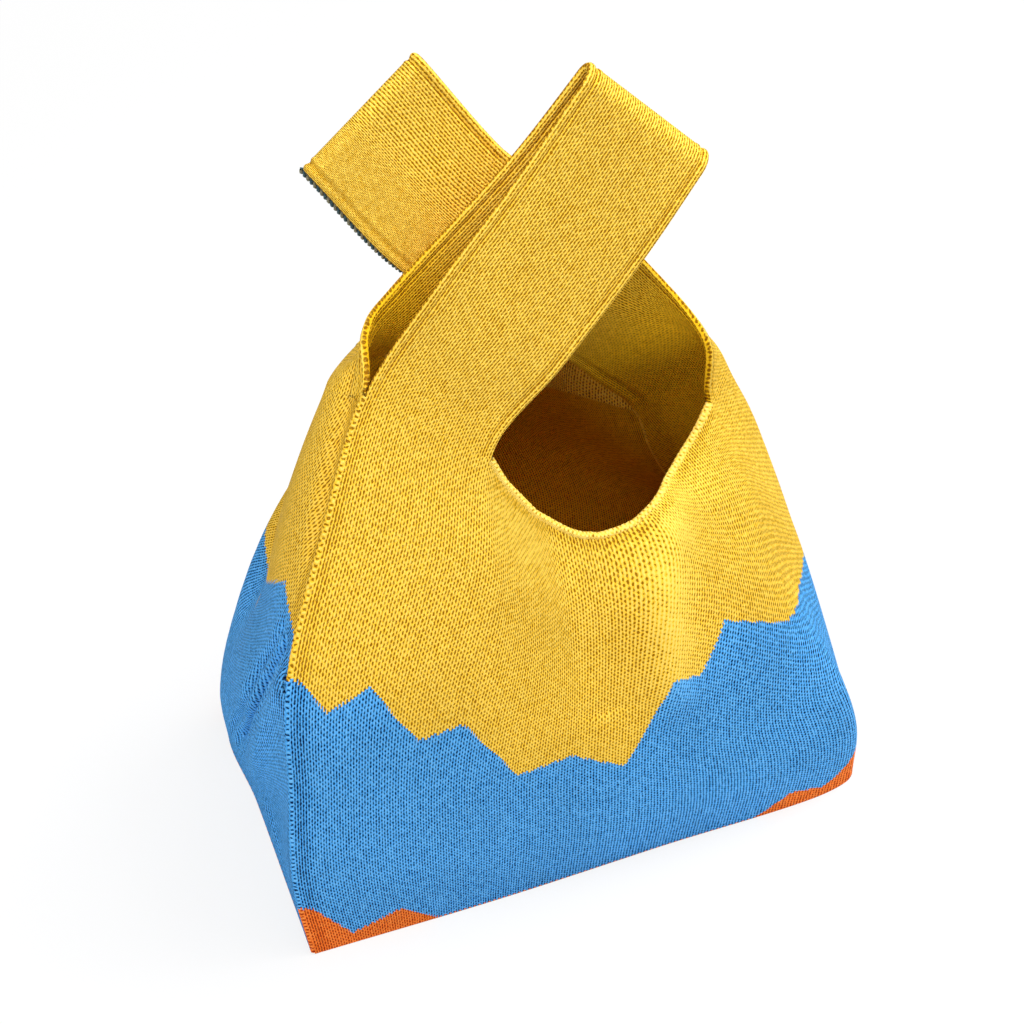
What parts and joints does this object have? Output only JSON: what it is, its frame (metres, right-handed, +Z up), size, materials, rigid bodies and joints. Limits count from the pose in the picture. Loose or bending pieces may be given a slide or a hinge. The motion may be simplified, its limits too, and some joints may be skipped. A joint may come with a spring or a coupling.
{
  "type": "knitted handle bag",
  "caption": "Soft knitted bag with a flat oblong base, zigzag colour bands and two crossed flat loop handles that swing at its top.",
  "frame": {"origin": "middle of the base's rectangle, on the surface that the bag stands on", "axes": "+X to the bag's right, +Y to its back, +Z up"},
  "size_m": [0.2293, 0.1424, 0.3197],
  "materials": {
    "yellow_knit": "matt knit",
    "blue_knit": "matt knit",
    "orange_knit": "matt knit",
    "rim_yarn": "matt knit"
  },
  "bodies": {
    "bag_body": {"base_panel": "orange_knit", "front_orange": "orange_knit", "front_blue": "blue_knit", "front_yellow": "yellow_knit", "right_side_orange": "orange_knit", "right_side_blue": "blue_knit", "right_side_yellow": "yellow_knit", "back_orange": "orange_knit", "back_blue": "blue_knit", "back_yellow": "yellow_knit", "left_side_orange": "orange_knit", "left_side_blue": "blue_knit", "left_side_yellow": "yellow_knit", "front_left_seam": "yellow_knit", "back_right_seam": "yellow_knit", "front_neck_edge": "yellow_knit", "back_neck_edge": "yellow_knit", "front_left_strap_root": "yellow_knit", "back_left_strap_root": "yellow_knit", "front_right_strap_root": "yellow_knit", "back_right_strap_root": "yellow_knit"},
    "left_handle": {"left_handle_band": "yellow_knit", "left_handle_rim": "rim_yarn"},
    "right_handle": {"right_handle_band": "yellow_knit", "right_handle_rim": "rim_yarn"}
  },
  "joints": [
    {"name": "left_handle_swing", "type": "hinge", "parent": "bag_body", "child": "left_handle", "pos_m": [-0.02, -0.009, 0.236], "axis": [-0.2593, -0.9275, 0.2693], "range_deg": [-10, 25], "deforming": ["front_left_strap_root", "back_left_strap_root"]},
    {"name": "right_handle_swing", "type": "hinge", "parent": "bag_body", "child": "right_handle", "pos_m": [0.005, 0.022, 0.235], "axis": [-0.2593, -0.9275, 0.2693], "range_deg": [-25, 10], "deforming": ["front_right_strap_root", "back_right_strap_root"]}
  ]
}
